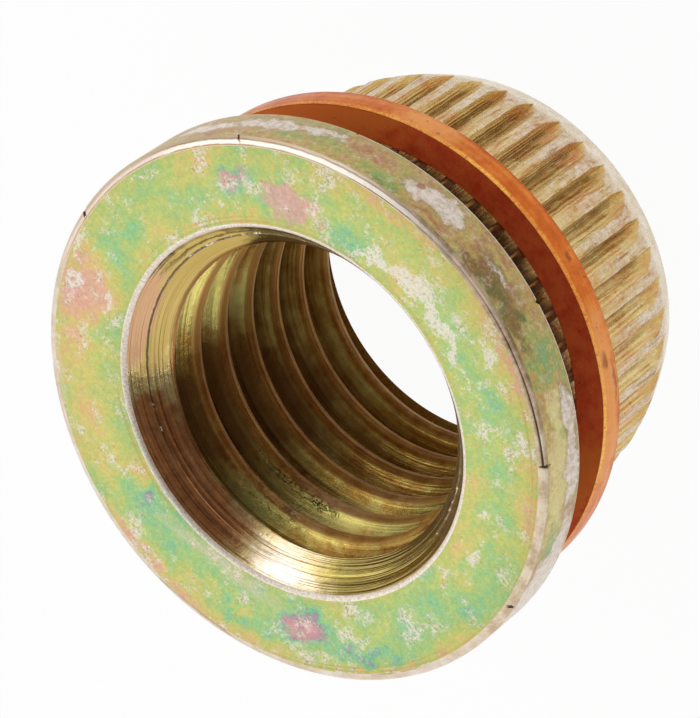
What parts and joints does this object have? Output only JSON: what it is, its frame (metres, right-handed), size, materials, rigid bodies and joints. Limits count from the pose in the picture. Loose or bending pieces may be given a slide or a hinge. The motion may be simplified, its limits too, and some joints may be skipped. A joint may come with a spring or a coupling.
{
  "type": "threaded insert",
  "caption": "Flanged metal insert with a right-hand internal thread, a straight-knurled press-in shank and a flat copper sealing ring.",
  "frame": {"origin": "on the axis, in the plane that the nose stands on", "axes": "+Z along the axis, from the nose up to the flange face; a knurl groove lies half a degree from +X"},
  "size_m": [0.0182, 0.0182, 0.0118],
  "materials": {
    "zinc_plate": "yellow zinc passivate, worn",
    "copper": "satin"
  },
  "bodies": {
    "root": {"insert_body": "zinc_plate", "sealing_ring": "copper"}
  },
  "joints": []
}
